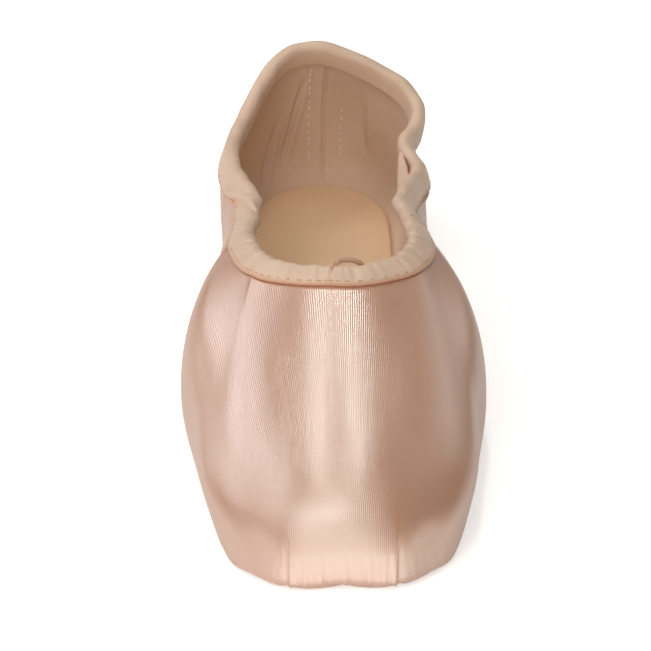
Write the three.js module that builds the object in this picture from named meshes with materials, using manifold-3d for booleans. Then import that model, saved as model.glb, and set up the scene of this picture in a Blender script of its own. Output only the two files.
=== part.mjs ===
// A satin pointe shoe, standing empty on its leather sole.
// Millimetres, +Z up. The toe points to -Y and the heel to +Y.
// The origin is on the floor, under the middle of the shoe's length.
// The shoe is made straight on a symmetrical last, so it fits either foot.
// Only the soft collar, drawn in by its string, hangs unevenly.
import * as THREE from "three";
import { mergeVertices } from "three/addons/utils/BufferGeometryUtils.js";
import Module from "manifold-3d";

// Driving dimensions
const LENGTH = 235;
const SOLE_THICKNESS = 2.4;
const SOLE_EDGE = 1.8;
const SOLE_COVER = 2.3;
const INSOLE_THICKNESS = 1.6;
const INSOLE_CROWN = 0.6;
const SPINE_INSET = 16;
const QUARTER_WALL = 1.6;
const BOX_WALL = 2.6;
const GAP = 0.3;
const BINDING_WIDTH = 8;
const BINDING_CLOTH = 1;
const CORD_DIAMETER = 1.5;
const NOTCH_WIDTH = 3.4;

// Under the waist the bottom of the shoe lifts; the box stiffens the toe end only.
// These places are measured along the shoe from the toe.
const ARCH = { start: 104, top: 156, end: 200, lift: 3 };
const BOX_END = { start: 70, end: 125 };

// How many steps run round the shoe, and up each part of the wall
const ROUND_STEPS = 96;
const UNDER_STEPS = [0, 0.14, 0.34, 0.55, 0.74, 0.9];
const SIDE_STEPS = [0, 0.14, 0.28, 0.4, 0.5, 0.6, 0.7, 0.8, 0.9];
const LINING_UNDER_STEPS = [0, 0.4, 0.7];
const LINING_SIDE_STEPS = [0, 0.25, 0.45, 0.6, 0.75, 0.9];

function table(columns, rows) {
  return rows.map((row) => Object.fromEntries(columns.map((name, i) => [name, row[i]])));
}

// Half sections of the last, from the middle of the toe to the middle of the heel.
// out and along place the widest line, and height is how far it is off the floor.
// lean tips the wall inwards. shoulder is the height of the upper corner over the widest line.
// crisp and edge sharpen the upper and the lower corner. floor is the lower corner's height.
// underOut and underAlong place the turned-in edge that the sole covers.
const LAST = table(
  [
    "section", "out", "along", "height", "lean", "shoulder",
    "crisp", "edge", "floor", "underOut", "underAlong",
  ],
  [
    ["toe middle", 0, 0, 10, 0.06, 17.2, 1.7, 5, 0, 0, 26],
    ["toe edge", 17.5, 2, 9, 0.24, 17.4, 1.7, 6.5, 0, 7.6, 26.2],
    ["toe corner", 26.1, 8.5, 7.5, 0.19, 20, 1.42, 6, 0, 16, 29.5],
    ["box side", 34.7, 24, 11.5, -0.13, 14.5, 0.92, 3, 1.8, 20.5, 36.5],
    ["wing", 38.7, 48, 13.5, 0.01, 16.2, 1.12, 1.4, 2.6, 23.4, 52],
    ["ball", 42.4, 82, 15, 0, 21.8, 1.04, 1.1, 2.7, 26, 82],
    ["behind ball", 36.8, 115, 16, 0, 18, 0.95, 1, 2.7, 22.6, 113],
    ["waist", 31, 147, 17, 0, 11, 0.8, 1, 2.7, 20, 147],
    ["rear quarter", 30.8, 178, 18, 0, 9, 0.8, 1, 2.7, 19.6, 178],
    ["heel side", 29, 208, 18, 0, 11, 0.8, 1, 2.7, 18.6, 206],
    ["heel corner", 17.5, 229.5, 18, 0.04, 16, 0.8, 1, 2.7, 10.8, 219.5],
    ["heel middle", 0, 235, 18, 0.05, 18, 0.8, 1, 2.7, 0, 224],
  ],
);

// The collar's top edge, a row for each section, round from the toe by the right side.
// lay is the angle of the folded binding over the level, inwards. Over 90 it leans out.
const COLLAR = table(
  ["right", "along", "height", "lay"],
  [
    [0, 92, 47, 18],
    [8.2, 93, 46.6, 20],
    [15, 97, 46.3, 25],
    [19.3, 102, 45.8, 30],
    [22, 109, 44.9, 36],
    [23.3, 122, 42.8, 42],
    [22.6, 138, 40.2, 48],
    [24, 155, 38.6, 58],
    [25.5, 180, 37.2, 75],
    [31, 204, 39.8, 100],
    [23.3, 220, 47.1, 92],
    [1, 227, 54.3, 72],
    [-13.5, 222.5, 51.3, 75],
    [-23, 206, 42.3, 80],
    [-27.3, 183, 38.6, 66],
    [-21.2, 156, 38.3, 38],
    [-22.3, 137, 39, 42],
    [-21.5, 118, 42.6, 40],
    [-18.9, 105, 45, 36],
    [-16.2, 100, 45.7, 30],
    [-13, 96.5, 46.2, 25],
    [-7.5, 93.5, 46.6, 20],
  ],
);

// Soft folds of the quarters: the section they are at, their half width in sections,
// how far they push the wall in, and how far down the wall they start.
const FOLDS = table(
  ["section", "spread", "push", "from"],
  [
    [6.75, 0.42, 2.8, 0.2],
    [7.85, 0.34, -3.6, 0.7],
    [8.5, 0.3, 2.8, 0.2],
    [15.05, 0.3, 1.3, 0.3],
    [15.9, 0.4, 1.2, 0.2],
  ],
);

const UP = new THREE.Vector3(0, 0, 1);

function smooth(from, to, value) {
  return THREE.MathUtils.smoothstep(value, from, to);
}

function archLift(along) {
  return ARCH.lift * smooth(ARCH.start, ARCH.top, along) * (1 - smooth(ARCH.top, ARCH.end, along));
}

function liftAt(point) {
  return archLift(point.y + LENGTH / 2);
}

// A smooth closed curve through rows of numbers, at uneven places round a loop
function closedCurve(places, loopLength, rows) {
  const count = rows.length;
  const width = rows[0].length;
  const gaps = places.map((p, i) => (i + 1 < count ? places[i + 1] : loopLength) - p);
  const slopes = rows.map((row, i) => {
    const next = rows[(i + 1) % count];
    const last = rows[(i + count - 1) % count];
    return row.map((v, k) => (next[k] - last[k]) / (gaps[i] + gaps[(i + count - 1) % count]));
  });
  // A few sweeps settle the slopes, so that the curve bends evenly across each row.
  for (let sweep = 0; sweep < 60; sweep += 1) {
    for (let i = 0; i < count; i += 1) {
      const before = (i + count - 1) % count;
      const after = (i + 1) % count;
      const a = gaps[before];
      const b = gaps[i];
      for (let k = 0; k < width; k += 1) {
        const rise = (rows[i][k] - rows[before][k]) / (a * a) + (rows[after][k] - rows[i][k]) / (b * b);
        slopes[i][k] = (3 * rise - slopes[before][k] / a - slopes[after][k] / b) / (2 / a + 2 / b);
      }
    }
  }
  return (place) => {
    const p = ((place % loopLength) + loopLength) % loopLength;
    let i = count - 1;
    while (places[i] > p) {
      i -= 1;
    }
    const j = (i + 1) % count;
    const h = gaps[i];
    const t = (p - places[i]) / h;
    const values = rows[i].map((v, k) => {
      const bend = (2 * t - 3) * t * t;
      const lead = ((t - 2) * t + 1) * t * h * slopes[i][k];
      const trail = (t - 1) * t * t * h * slopes[j][k];
      return v * (1 + bend) - rows[j][k] * bend + lead + trail;
    });
    return { values, section: i + t };
  };
}

// The half sections are mirrored to make the whole loop.
const HALF = LAST.length - 1;
const LOOP = COLLAR.map((rim, i) => {
  const side = i <= HALF ? 1 : -1;
  const form = LAST[i <= HALF ? i : 2 * HALF - i];
  return { form, rim, right: side * form.out, under: side * form.underOut };
});
const PLACES = [0];
LOOP.forEach((row, i) => {
  const next = LOOP[(i + 1) % LOOP.length];
  PLACES.push(PLACES[i] + Math.hypot(next.right - row.right, next.form.along - row.form.along));
});
const LOOP_LENGTH = PLACES.pop();
const FORM_COLUMNS = ["along", "height", "lean", "shoulder", "crisp", "edge", "floor", "underAlong"];
const RIM_COLUMNS = ["right", "along", "height", "lay"];
const formCurve = closedCurve(
  PLACES,
  LOOP_LENGTH,
  LOOP.map((row) => [row.right, ...FORM_COLUMNS.map((name) => row.form[name]), row.under]),
);
const rimCurve = closedCurve(
  PLACES,
  LOOP_LENGTH,
  LOOP.map((row) => RIM_COLUMNS.map((name) => row.rim[name])),
);

function inwardOf(curve, place, x, y) {
  const a = curve(place - 0.5).values;
  const b = curve(place + 0.5).values;
  return new THREE.Vector3(a[y] - b[y], b[x] - a[x], 0).normalize();
}

function foldPush(section, rise) {
  return FOLDS.reduce((sum, fold) => {
    const far = (section - fold.section) / fold.spread;
    return sum + fold.push * Math.exp(-far * far) * smooth(fold.from, 1, rise);
  }, 0);
}

function step(point, direction, distance) {
  return point.clone().addScaledVector(direction, distance);
}

// Moves a corner inwards so that both of its faces go in by the same thickness.
function cornerIn(corner, normalA, normalB, thickness) {
  const both = normalA.clone().add(normalB);
  return step(corner, both, -thickness / (1 + normalA.dot(normalB)));
}

// All the guide points of the wall at one place round the shoe
function sectionAt(place) {
  const { values, section } = formCurve(place);
  const [right, along, height, lean, shoulder, crisp, edge, floor, underAlong, under] = values;
  const inward = inwardOf(formCurve, place, 0, 1);
  const rise = step(UP, inward, lean);
  const wide = new THREE.Vector3(right, along - LENGTH / 2, height);
  const low = step(wide, rise, -(height - floor - archLift(along)));
  const feather = new THREE.Vector3(under, underAlong - LENGTH / 2, SOLE_THICKNESS + GAP);
  feather.z += liftAt(feather);
  const underInward = inwardOf(formCurve, place, 9, 8);
  const corner = step(wide, rise, shoulder);

  const rim = rimCurve(place).values;
  const rimInward = inwardOf(rimCurve, place, 0, 1);
  const lay = THREE.MathUtils.degToRad(rim[3]);
  const layWay = rimInward.clone().multiplyScalar(Math.cos(lay)).addScaledVector(UP, Math.sin(lay));
  const rimOut = UP.clone().multiplyScalar(Math.cos(lay)).addScaledVector(rimInward, -Math.sin(lay));
  const top = new THREE.Vector3(rim[0], rim[1] - LENGTH / 2, rim[2]);
  top.addScaledVector(rimInward, foldPush(section, 1));
  const seam = step(top, layWay, -BINDING_WIDTH);

  const wideOut = step(UP.clone().multiplyScalar(lean), inward, -1).normalize();
  const wall = THREE.MathUtils.lerp(BOX_WALL, QUARTER_WALL, smooth(BOX_END.start, BOX_END.end, along));
  return {
    section, crisp, edge, inward, underInward, wide, low, feather, corner, seam, top, layWay, rimOut,
    inner: {
      wide: step(wide, wideOut, -wall),
      low: step(step(low, UP, QUARTER_WALL), wideOut, -wall),
      feather: step(feather, UP, QUARTER_WALL),
      corner: cornerIn(corner, wideOut, rimOut, wall),
      seam: step(seam, rimOut, -QUARTER_WALL),
      crisp: Math.min(crisp, 1.3),
      edge: Math.min(edge, 1),
    },
  };
}

// A rounded corner from one point to another; the weight pulls it towards the corner.
function roundedCorner(from, corner, to, weight, t) {
  const a = (1 - t) * (1 - t);
  const b = 2 * t * (1 - t) * weight;
  const c = t * t;
  const point = from.clone().multiplyScalar(a);
  point.addScaledVector(corner, b).addScaledVector(to, c);
  return point.divideScalar(a + b + c);
}

function underPoint(at, t) {
  return roundedCorner(at.feather, at.low, at.wide, at.edge, t);
}

function sidePoint(at, section, inward, t) {
  const point = roundedCorner(at.wide, at.corner, at.seam, at.crisp, t);
  return point.addScaledVector(inward, foldPush(section, t) * (1 - smooth(0.75, 1, t)));
}

const SECTIONS = Array.from({ length: ROUND_STEPS }, (_, i) => sectionAt((LOOP_LENGTH * i) / ROUND_STEPS));

function ring(pointOf) {
  return SECTIONS.map((at) => pointOf(at));
}

function geometryOf(points, faces) {
  const geometry = new THREE.BufferGeometry();
  const numbers = points.flatMap((p) => [p.x, p.y, p.z]);
  geometry.setAttribute("position", new THREE.Float32BufferAttribute(numbers, 3));
  geometry.setIndex(faces.flat());
  geometry.computeVertexNormals();
  return geometry;
}

function bandFaces(lower, upper, count) {
  const faces = [];
  for (let i = 0; i < count; i += 1) {
    const j = (i + 1) % count;
    faces.push([lower + i, lower + j, upper + j], [lower + i, upper + j, upper + i]);
  }
  return faces;
}

// A closed skin through rings that follow each other right round a hollow wall
function hollowSkin(rings) {
  const count = rings[0].length;
  const faces = rings.flatMap((_, r) => bandFaces(r * count, ((r + 1) % rings.length) * count, count));
  return geometryOf(rings.flat(), faces);
}

// A plate through rings from its bottom edge to its top edge.
// Each face is closed in to a spine along the middle, and the top may be crowned there.
function plateSkin(rings, crown) {
  const count = rings[0].length;
  const half = count / 2;
  const points = rings.flat();
  const faces = rings.slice(1).flatMap((_, r) => bandFaces(r * count, (r + 1) * count, count));
  const cap = (start, rise, turn) => {
    const near = points[start].y + SPINE_INSET;
    const far = points[start + half].y - SPINE_INSET;
    const spine = [];
    for (let i = 0; i <= half; i += 1) {
      const middle = points[start + i].clone();
      const y = THREE.MathUtils.clamp(middle.y, near, far);
      const previous = spine[i - 1];
      if (i > 0 && points[previous].y === y) {
        spine.push(previous);
      } else {
        const level = points[start + i].z - liftAt(middle);
        middle.set(0, y, 0);
        middle.z = level + liftAt(middle) + rise;
        spine.push(points.push(middle) - 1);
      }
    }
    for (let i = 0; i < half; i += 1) {
      const right = [start + i, start + i + 1];
      const left = [start + ((count - i) % count), start + count - i - 1];
      const fan = [
        [right[0], right[1], spine[i + 1]],
        [left[1], left[0], spine[i + 1]],
      ];
      if (spine[i] !== spine[i + 1]) {
        fan.push([right[0], spine[i + 1], spine[i]], [left[0], spine[i], spine[i + 1]]);
      }
      faces.push(...fan.map((face) => (turn ? face.toReversed() : face)));
    }
  };
  cap(0, 0, true);
  cap((rings.length - 1) * count, crown, false);
  return geometryOf(points, faces);
}

function outline(cover, inset, heightOf) {
  return ring((at) => {
    const point = step(at.feather, at.underInward, inset - cover(at));
    point.z = heightOf + liftAt(point);
    return point;
  });
}

// Upper: one hollow wall from the edge under the sole, up over the box and quarters to the collar
const topStep = BINDING_WIDTH - BINDING_CLOTH - GAP - 0.1;
const upperRings = [
  ...UNDER_STEPS.map((t) => ring((at) => underPoint(at, t))),
  ...SIDE_STEPS.map((t) => ring((at) => sidePoint(at, at.section, at.inward, t))),
  ...[0, topStep].map((h) => ring((at) => step(at.seam, at.layWay, h))),
  ...[topStep, 0].map((h) => ring((at) => step(at.inner.seam, at.layWay, h))),
  ...LINING_SIDE_STEPS.toReversed().map((t) => ring((at) => sidePoint(at.inner, at.section, at.inward, t))),
  ...LINING_UNDER_STEPS.toReversed().map((t) => ring((at) => underPoint(at.inner, t))),
];
const upperGeometry = hollowSkin(upperRings);

// Collar binding: a casing folded over the upper's top edge, cut from the upper's own wall
const BINDING_GAP = 0.4;
const OUT_NEAR = BINDING_GAP;
const OUT_FAR = BINDING_GAP + BINDING_CLOTH;
const IN_NEAR = -QUARTER_WALL - BINDING_GAP;
const IN_FAR = IN_NEAR - BINDING_CLOTH;
const BINDING_SECTION = table(
  ["up", "out"],
  [
    [0.4, OUT_NEAR],
    [0.4, OUT_FAR - 0.4],
    [0.8, OUT_FAR],
    [BINDING_WIDTH - 1.6, OUT_FAR],
    [BINDING_WIDTH - 0.4, OUT_FAR - 0.7],
    [BINDING_WIDTH, -QUARTER_WALL / 2],
    [BINDING_WIDTH - 0.4, IN_FAR + 0.7],
    [BINDING_WIDTH - 1.6, IN_FAR],
    [0.8, IN_FAR],
    [0.4, IN_FAR + 0.4],
    [0.4, IN_NEAR],
    [BINDING_WIDTH - BINDING_CLOTH, IN_NEAR],
    [BINDING_WIDTH - BINDING_CLOTH, OUT_NEAR],
  ],
);
const bindingRings = BINDING_SECTION.map((row) =>
  ring((at) => step(step(at.seam, at.layWay, row.up), at.rimOut, row.out)),
);
const bindingWhole = hollowSkin(bindingRings);

// Outsole: a leather plate that covers the turned-in edge, skived towards its rim
const soleCover = () => SOLE_COVER;
const outsoleGeometry = plateSkin(
  [
    outline(soleCover, 0.5, 0),
    outline(soleCover, 0, 0.5),
    outline(soleCover, 0, SOLE_EDGE - 0.3),
    outline(soleCover, 0.4, SOLE_EDGE),
    outline(soleCover, 3.5, SOLE_THICKNESS),
  ],
  0,
);

// Insole: a thin board inside the feather edge, reaching further into the box
const insoleFloor = SOLE_THICKNESS + GAP + QUARTER_WALL + 1.5 * GAP;
const insoleCover = (at) => 1 + 5 * (1 - smooth(2, 34, at.wide.y + LENGTH / 2));
const insoleGeometry = plateSkin(
  [
    outline(insoleCover, 0.3, insoleFloor),
    outline(insoleCover, 0, insoleFloor + 0.4),
    outline(insoleCover, 0.1, insoleFloor + INSOLE_THICKNESS - 0.3),
    outline(insoleCover, 1, insoleFloor + INSOLE_THICKNESS),
  ],
  INSOLE_CROWN,
);

// The casing opens at the front, where its drawstring comes out.
const wasm = await Module();
wasm.setup();
function solidOf(geometry) {
  const plain = new THREE.BufferGeometry();
  plain.setAttribute("position", geometry.attributes.position);
  plain.setIndex(geometry.index);
  const welded = mergeVertices(plain, 1e-4);
  const mesh = new wasm.Mesh({
    numProp: 3,
    vertProperties: Float32Array.from(welded.attributes.position.array),
    triVerts: Uint32Array.from(welded.index.array),
  });
  return new wasm.Manifold(mesh);
}
function geometryFrom(solid) {
  const mesh = solid.getMesh();
  const geometry = new THREE.BufferGeometry();
  geometry.setAttribute("position", new THREE.Float32BufferAttribute(mesh.vertProperties, 3));
  geometry.setIndex(Array.from(mesh.triVerts));
  geometry.computeVertexNormals();
  return geometry;
}

const NOTCH = { x: 0.8, depth: 3.4 };
const front = sectionAt(0);
const notchCut = new THREE.BoxGeometry(NOTCH_WIDTH, NOTCH.depth + 2, 6);
notchCut.translate(NOTCH.x, front.top.y - NOTCH.depth / 2 + 1, front.top.z + 0.6);
const bindingGeometry = geometryFrom(solidOf(bindingWhole).subtract(solidOf(notchCut)));

// Drawstring: it leaves the notch, lies over the rim, hangs in a loop inside the throat and goes back in.
const cordRadius = CORD_DIAMETER / 2;
const CORD_PATH = table(
  ["right", "back", "up"],
  [
    [0.8, -1.3, 0.9],
    [1.7, 0.3, 1.2],
    [3.2, 1.3, 1.1],
    [5, 1.8, 0.8],
    [6.8, 2, 0.2],
    [8.2, 2.4, -1],
    [8.8, 2.8, -2.7],
    [8.9, 3.2, -4.5],
    [8.2, 3.5, -6.3],
    [7, 3.7, -7.7],
    [5.4, 3.8, -8.5],
    [3.6, 3.8, -8.2],
    [2.2, 3.6, -7],
    [1.5, 3.2, -5.3],
    [1.2, 2.7, -3.5],
    [1.2, 1.8, -1.8],
    [1.2, 0.4, -0.6],
  ],
);
const cordCurve = new THREE.CatmullRomCurve3(
  CORD_PATH.map((row) => new THREE.Vector3(row.right, front.top.y + row.back, front.top.z + row.up)),
);
const cordRound = new THREE.Shape();
cordRound.absarc(0, 0, cordRadius, 0, Math.PI * 2);
const cordGeometry = new THREE.ExtrudeGeometry(cordRound, {
  steps: 36,
  curveSegments: 4,
  extrudePath: cordCurve,
});

const satin = { color: 0xdcb7a0, roughness: 0.4, metalness: 0 };
const leather = { color: 0xb98d6a, roughness: 0.7, metalness: 0 };
const board = { color: 0xd3ad88, roughness: 0.6, metalness: 0 };
const shoe = new THREE.Group();
shoe.name = "pointe_shoe";
function add(name, geometry, look) {
  const mesh = new THREE.Mesh(geometry, new THREE.MeshStandardMaterial(look));
  mesh.name = name;
  shoe.add(mesh);
}
add("upper", upperGeometry, satin);
add("collar_binding", bindingGeometry, satin);
add("outsole", outsoleGeometry, leather);
add("insole", insoleGeometry, board);
add("drawstring", cordGeometry, satin);

export default shoe;
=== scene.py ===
# %% [markdown]
# # A satin pointe shoe
# A pointe shoe is a cloth shoe with a hard glued box at the toe. This lesson dresses the
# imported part: it keeps the part's frame and sizes, and gives each piece its true surface,
# folds, seams and cloth. Lengths in the tables are millimetres, and MM turns them into metres.

import math

import bpy
import numpy as np
from mathutils import Matrix, Vector


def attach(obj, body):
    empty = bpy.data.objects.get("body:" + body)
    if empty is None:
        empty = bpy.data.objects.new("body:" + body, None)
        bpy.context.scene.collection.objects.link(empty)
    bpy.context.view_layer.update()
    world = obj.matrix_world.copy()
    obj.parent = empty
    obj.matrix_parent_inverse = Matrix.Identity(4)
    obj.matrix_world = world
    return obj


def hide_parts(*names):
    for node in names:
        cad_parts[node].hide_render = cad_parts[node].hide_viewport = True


MM = 0.001
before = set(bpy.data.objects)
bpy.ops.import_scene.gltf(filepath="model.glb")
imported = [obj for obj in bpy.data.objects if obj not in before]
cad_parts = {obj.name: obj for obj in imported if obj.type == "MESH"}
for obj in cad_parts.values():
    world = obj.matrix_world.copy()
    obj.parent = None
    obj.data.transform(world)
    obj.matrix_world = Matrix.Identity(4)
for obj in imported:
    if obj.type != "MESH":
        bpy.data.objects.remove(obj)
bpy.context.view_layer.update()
print("packed nodes:", sorted(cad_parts))

# %% [markdown]
# ## Camera
# The shoe was photographed from its toe, a little above, with a long lens. A lens of about
# 197 mm at one metre gives the same gentle perspective, so no shift or depth of field is needed.

# %% Camera
VIEW_AZIMUTH = math.radians(-1.7)
VIEW_ELEVATION = math.radians(28.6)
VIEW_DISTANCE = 1.0
VIEW_AIM = Vector((-0.0017, -0.0197, 0.025))
VIEW_LENS = 196.87
VIEW_SENSOR = 36


def add_camera():
    level = math.cos(VIEW_ELEVATION)
    back = Vector((
        math.sin(VIEW_AZIMUTH) * level, -math.cos(VIEW_AZIMUTH) * level, math.sin(VIEW_ELEVATION),
    ))
    right = Vector((math.cos(VIEW_AZIMUTH), math.sin(VIEW_AZIMUTH), 0))
    turn = Matrix((right, back.cross(right), back)).transposed().to_4x4()
    data = bpy.data.cameras.new("toe_view")
    data.lens = VIEW_LENS
    data.sensor_width = VIEW_SENSOR
    camera = bpy.data.objects.new("toe_view", data)
    camera.matrix_world = Matrix.Translation(VIEW_AIM + back * VIEW_DISTANCE) @ turn
    bpy.context.collection.objects.link(camera)
    return camera


bpy.context.scene.camera = add_camera()
print("camera at", [round(v, 3) for v in bpy.context.scene.camera.matrix_world.translation])

# %% [markdown]
# ## Drawstring
# A thin cord runs round the collar inside its casing. At the front it comes out of a small
# opening, lies over the rim, hangs in a loop inside the throat and goes back in. A Bezier curve
# with automatic handles passes through every point of the route, which suits a limp cord.

# %% Drawstring
LENGTH = 235.0
RIM_FRONT = np.array([0.0, 92 - LENGTH / 2, 47.0])
CORD_ROUTE = np.array([
    [0.8, -1.3, 0.9], [1.7, 0.3, 1.2], [3.2, 1.3, 1.1], [5, 1.8, 0.8],
    [6.8, 2, 0.2], [8.2, 2.4, -1], [8.8, 2.8, -2.7], [8.9, 3.2, -4.5],
    [8.2, 3.5, -6.3], [7, 3.7, -7.7], [5.4, 3.8, -8.5], [3.6, 3.8, -8.2],
    [2.2, 3.6, -7], [1.5, 3.2, -5.3], [1.2, 2.7, -3.5], [1.2, 1.8, -1.8],
    [1.2, 0.4, -0.6],
])
# a curve's box reaches one knot radius past its line, so knots are small and the bevel makes up for it
KNOT_RADIUS = 0.001


def cord_through(name, points, diameter):
    curve = bpy.data.curves.new(name, "CURVE")
    curve.dimensions = "3D"
    curve.bevel_depth = diameter / 2 / KNOT_RADIUS
    curve.bevel_resolution = 4
    curve.resolution_u = 8
    curve.use_fill_caps = True
    spline = curve.splines.new("BEZIER")
    spline.bezier_points.add(len(points) - 1)
    for knot, point in zip(spline.bezier_points, points):
        knot.co = point
        knot.radius = KNOT_RADIUS
        knot.handle_left_type = knot.handle_right_type = "AUTO"
    piece = bpy.data.objects.new(name, curve)
    bpy.context.collection.objects.link(piece)
    return piece


def route_length(points):
    return float(np.linalg.norm(np.diff(points, axis=0), axis=1).sum())


def blend_through(a, b, c, d, t):
    return 0.5 * (2 * b + (c - a) * t + (2 * a - 5 * b + 4 * c - d) * t**2 + (3 * b - a - 3 * c + d) * t**3)


cord_points = (RIM_FRONT + CORD_ROUTE) * MM
drawstring = cord_through("drawstring_cord", cord_points, 1.5 * MM)
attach(drawstring, "root")
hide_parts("drawstring")
print("drawstring about", round(route_length(cord_points) / MM, 1), "mm")

# %% [markdown]
# ## The last
# The last is the form that the shoe is pulled over. Each row is one section of it, from the middle
# of the toe round to the middle of the heel: where the widest line is, how the wall leans, how high
# and crisp its shoulder is, and where the cloth turns under. A second table gives the collar's
# top edge all the way round, because the slack collar hangs unevenly. A smooth closed curve
# through the rows gives every section between them.

# %% Tables of the last and the collar
# out, along, height, lean, shoulder, crisp, edge, floor, under out, under along
LAST = np.array([
    [0, 0, 10, 0.06, 17.2, 1.7, 5, 0, 0, 26],
    [17.5, 2, 9, 0.24, 17.4, 1.7, 6.5, 0, 7.6, 26.2],
    [26.1, 8.5, 7.5, 0.19, 20, 1.42, 6, 0, 16, 29.5],
    [34.7, 24, 11.5, -0.13, 14.5, 0.92, 3, 1.8, 20.5, 36.5],
    [38.7, 48, 13.5, 0.01, 16.2, 1.12, 1.4, 2.6, 23.4, 52],
    [42.4, 82, 15, 0, 21.8, 1.04, 1.1, 2.7, 26, 82],
    [36.8, 115, 16, 0, 18, 0.95, 1, 2.7, 22.6, 113],
    [31, 147, 17, 0, 11, 0.8, 1, 2.7, 20, 147],
    [30.8, 178, 18, 0, 9, 0.8, 1, 2.7, 19.6, 178],
    [29, 208, 18, 0, 11, 0.8, 1, 2.7, 18.6, 206],
    [17.5, 229.5, 18, 0.04, 16, 0.8, 1, 2.7, 10.8, 219.5],
    [0, 235, 18, 0.05, 18, 0.8, 1, 2.7, 0, 224],
])
# right, along, height, lay
COLLAR = np.array([
    [0, 92, 47, 18], [8.2, 93, 46.6, 20], [15, 97, 46.3, 25], [19.3, 102, 45.8, 30],
    [22, 109, 44.9, 36], [23.3, 122, 42.8, 42], [22.6, 138, 40.2, 48], [24, 155, 38.6, 58],
    [25.5, 180, 37.2, 75], [31, 204, 39.8, 100], [23.3, 220, 47.1, 92], [1, 227, 54.3, 72],
    [-13.5, 222.5, 51.3, 75], [-23, 206, 42.3, 80], [-27.3, 183, 38.6, 66], [-21.2, 156, 38.3, 38],
    [-22.3, 137, 39, 42], [-21.5, 118, 42.6, 40], [-18.9, 105, 45, 36], [-16.2, 100, 45.7, 30],
    [-13, 96.5, 46.2, 25], [-7.5, 93.5, 46.6, 20],
])
# section, spread, push in, from where up the wall
FOLDS = np.array([
    [6.75, 0.42, 2.8, 0.2], [7.85, 0.34, -3.6, 0.7], [8.5, 0.3, 2.8, 0.2],
    [15.05, 0.3, 1.3, 0.3], [15.9, 0.4, 1.2, 0.2],
])
BINDING_WIDTH = 8.0
QUARTER_WALL = 1.6
BOX_WALL = 2.6
SOLE_THICKNESS = 2.4
GAP = 0.3
half = len(LAST) - 1
order = [i if i <= half else 2 * half - i for i in range(len(COLLAR))]
form_rows = LAST[order]
form_rows[half + 1:, [0, 8]] *= -1
chords = np.linalg.norm(np.roll(form_rows[:, :2], -1, axis=0) - form_rows[:, :2], axis=1)
places = np.concatenate([[0], np.cumsum(chords)[:-1]])
loop_length = chords.sum()
print("sections:", len(form_rows), "round", round(loop_length), "mm")

# %% Smooth curves through the tables


def smooth(start, end, value):
    t = np.clip((value - start) / (end - start), 0, 1)
    return t * t * (3 - 2 * t)


def closed_spline(rows):
    count = len(rows)
    gaps = np.diff(np.append(places, loop_length))
    matrix = np.zeros((count, count))
    rise = np.zeros(rows.shape)
    for i in range(count):
        before, after = i - 1, (i + 1) % count
        a, b = gaps[before], gaps[i]
        matrix[i, before] += 1 / a
        matrix[i, i] += 2 / a + 2 / b
        matrix[i, after] += 1 / b
        rise[i] = 3 * ((rows[i] - rows[before]) / a**2 + (rows[after] - rows[i]) / b**2)
    slopes = np.linalg.solve(matrix, rise)

    def at(place):
        place = np.mod(place, loop_length)
        i = np.searchsorted(places, place, side="right") - 1
        j = (i + 1) % count
        h = gaps[i][:, None]
        t = ((place - places[i]) / gaps[i])[:, None]
        bend = (2 * t - 3) * t * t
        lead = ((t - 2) * t + 1) * t * h * slopes[i]
        trail = (t - 1) * t * t * h * slopes[j]
        return rows[i] * (1 + bend) - rows[j] * bend + lead + trail, i + t[:, 0]

    return at


form_curve = closed_spline(form_rows)
rim_curve = closed_spline(COLLAR)


def unit(v):
    return v / np.linalg.norm(v, axis=-1, keepdims=True)


def inward_of(curve, place, x, y):
    step = curve(place + 0.5)[0] - curve(place - 0.5)[0]
    return unit(np.stack([-step[:, y], step[:, x], np.zeros(len(place))], axis=-1))


def arch_lift(along):
    return 3 * smooth(104, 156, along) * (1 - smooth(156, 200, along))


UP = np.array([0.0, 0.0, 1.0])

# %% Sections of the shoe at any places round it


def fold_push(section, rise):
    push = np.zeros(np.broadcast(section, rise).shape)
    for middle, spread, depth, start in FOLDS:
        push = push + depth * np.exp(-(((section - middle) / spread) ** 2)) * smooth(start, 1, rise)
    return push


def corner_in(corner, normal_a, normal_b, thickness):
    share = thickness / (1 + (normal_a * normal_b).sum(-1))
    return corner - share[:, None] * (normal_a + normal_b)


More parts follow.
